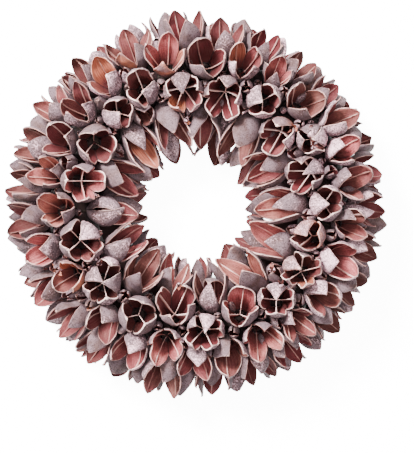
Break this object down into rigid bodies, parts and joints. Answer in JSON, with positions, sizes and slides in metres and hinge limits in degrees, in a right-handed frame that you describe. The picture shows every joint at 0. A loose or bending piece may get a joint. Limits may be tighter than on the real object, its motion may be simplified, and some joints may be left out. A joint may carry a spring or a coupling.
{
  "type": "bakuli fruit wreath",
  "caption": "Round wreath of dried, split-open bakuli seed pods glued in tight rows over a bound straw ring base.",
  "frame": {"origin": "centre of the box's bottom, on the plane of the flat back that the wreath lies on", "axes": "+Z out of the front of the wreath, +Y towards its top as it hangs, +X to the right seen from the front"},
  "size_m": [0.2932, 0.2934, 0.0679],
  "materials": {
    "pod_husk": "dry woody seed pods, grey-mauve outside with a pale dry-brushed bloom, red-brown to maroon inside",
    "bound_straw": "dark stained straw bound with thread, matt"
  },
  "bodies": {
    "root": {"ring_base": "bound_straw", "pods_rim_01": "pod_husk", "pods_rim_02": "pod_husk", "pods_rim_03": "pod_husk", "pods_rim_04": "pod_husk", "pods_rim_05": "pod_husk", "pods_rim_06": "pod_husk", "pods_rim_07": "pod_husk", "pods_rim_08": "pod_husk", "pods_rim_09": "pod_husk", "pods_rim_10": "pod_husk", "pods_rim_11": "pod_husk", "pods_rim_12": "pod_husk", "pods_rim_13": "pod_husk", "pods_flank_01": "pod_husk", "pods_flank_02": "pod_husk", "pods_flank_03": "pod_husk", "pods_flank_04": "pod_husk", "pods_flank_05": "pod_husk", "pods_flank_06": "pod_husk", "pods_flank_07": "pod_husk", "pods_flank_08": "pod_husk", "pods_flank_09": "pod_husk", "pods_flank_10": "pod_husk", "pods_flank_11": "pod_husk", "pods_flank_12": "pod_husk", "pods_shoulder_01": "pod_husk", "pods_shoulder_02": "pod_husk", "pods_shoulder_03": "pod_husk", "pods_shoulder_04": "pod_husk", "pods_shoulder_05": "pod_husk", "pods_shoulder_06": "pod_husk", "pods_shoulder_07": "pod_husk", "pods_shoulder_08": "pod_husk", "pods_shoulder_09": "pod_husk", "pods_shoulder_10": "pod_husk", "pods_shoulder_11": "pod_husk", "pods_shoulder_12": "pod_husk", "pods_crest_01": "pod_husk", "pods_crest_02": "pod_husk", "pods_crest_03": "pod_husk", "pods_crest_04": "pod_husk", "pods_crest_05": "pod_husk", "pods_crest_06": "pod_husk", "pods_crest_07": "pod_husk", "pods_crest_08": "pod_husk", "pods_crest_09": "pod_husk", "pods_crest_10": "pod_husk", "pods_inner_01": "pod_husk", "pods_inner_02": "pod_husk", "pods_inner_03": "pod_husk", "pods_inner_04": "pod_husk", "pods_inner_05": "pod_husk", "pods_inner_06": "pod_husk", "pods_inner_07": "pod_husk", "pods_bore_01": "pod_husk", "pods_bore_02": "pod_husk", "pods_bore_03": "pod_husk", "pods_bore_04": "pod_husk", "pods_bore_05": "pod_husk"}
  },
  "joints": []
}
